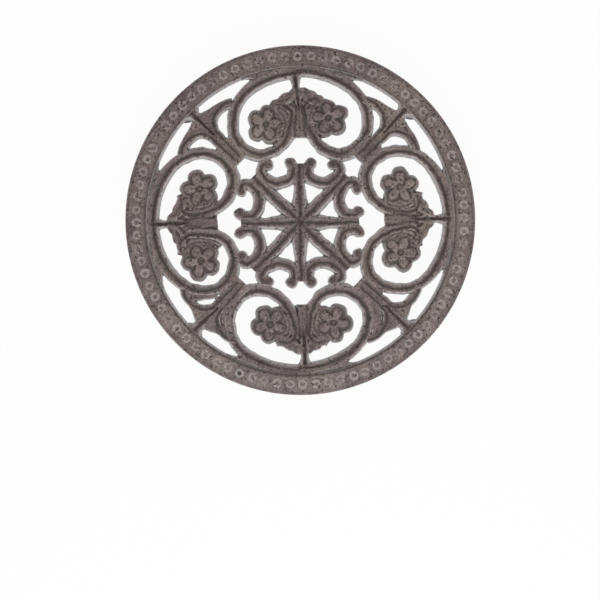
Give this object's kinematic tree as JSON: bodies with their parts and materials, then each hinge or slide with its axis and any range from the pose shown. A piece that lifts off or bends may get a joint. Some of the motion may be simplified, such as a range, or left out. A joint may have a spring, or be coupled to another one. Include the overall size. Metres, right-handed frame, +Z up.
{
  "type": "trivet",
  "caption": "Round openwork cast-iron trivet: a raised beaded rim around a pierced field of scrolls, flowers, palmettes and a spoked star, standing on ball feet.",
  "frame": {"origin": "on the table, under the middle of the trivet", "axes": "+Z up through the middle of the star; +X and +Y each pass over a palmette and a foot"},
  "size_m": [0.18, 0.18, 0.02],
  "materials": {
    "iron": "antique brown-grey paint, worn lighter on the rim",
    "stud_steel": "plain steel stud, hidden"
  },
  "bodies": {
    "root": {"openwork_casting": "iron", "ball_foot_1": "iron", "ball_foot_2": "iron", "ball_foot_3": "iron", "ball_foot_4": "iron", "foot_stud_1": "stud_steel", "foot_stud_2": "stud_steel", "foot_stud_3": "stud_steel", "foot_stud_4": "stud_steel"}
  },
  "joints": []
}
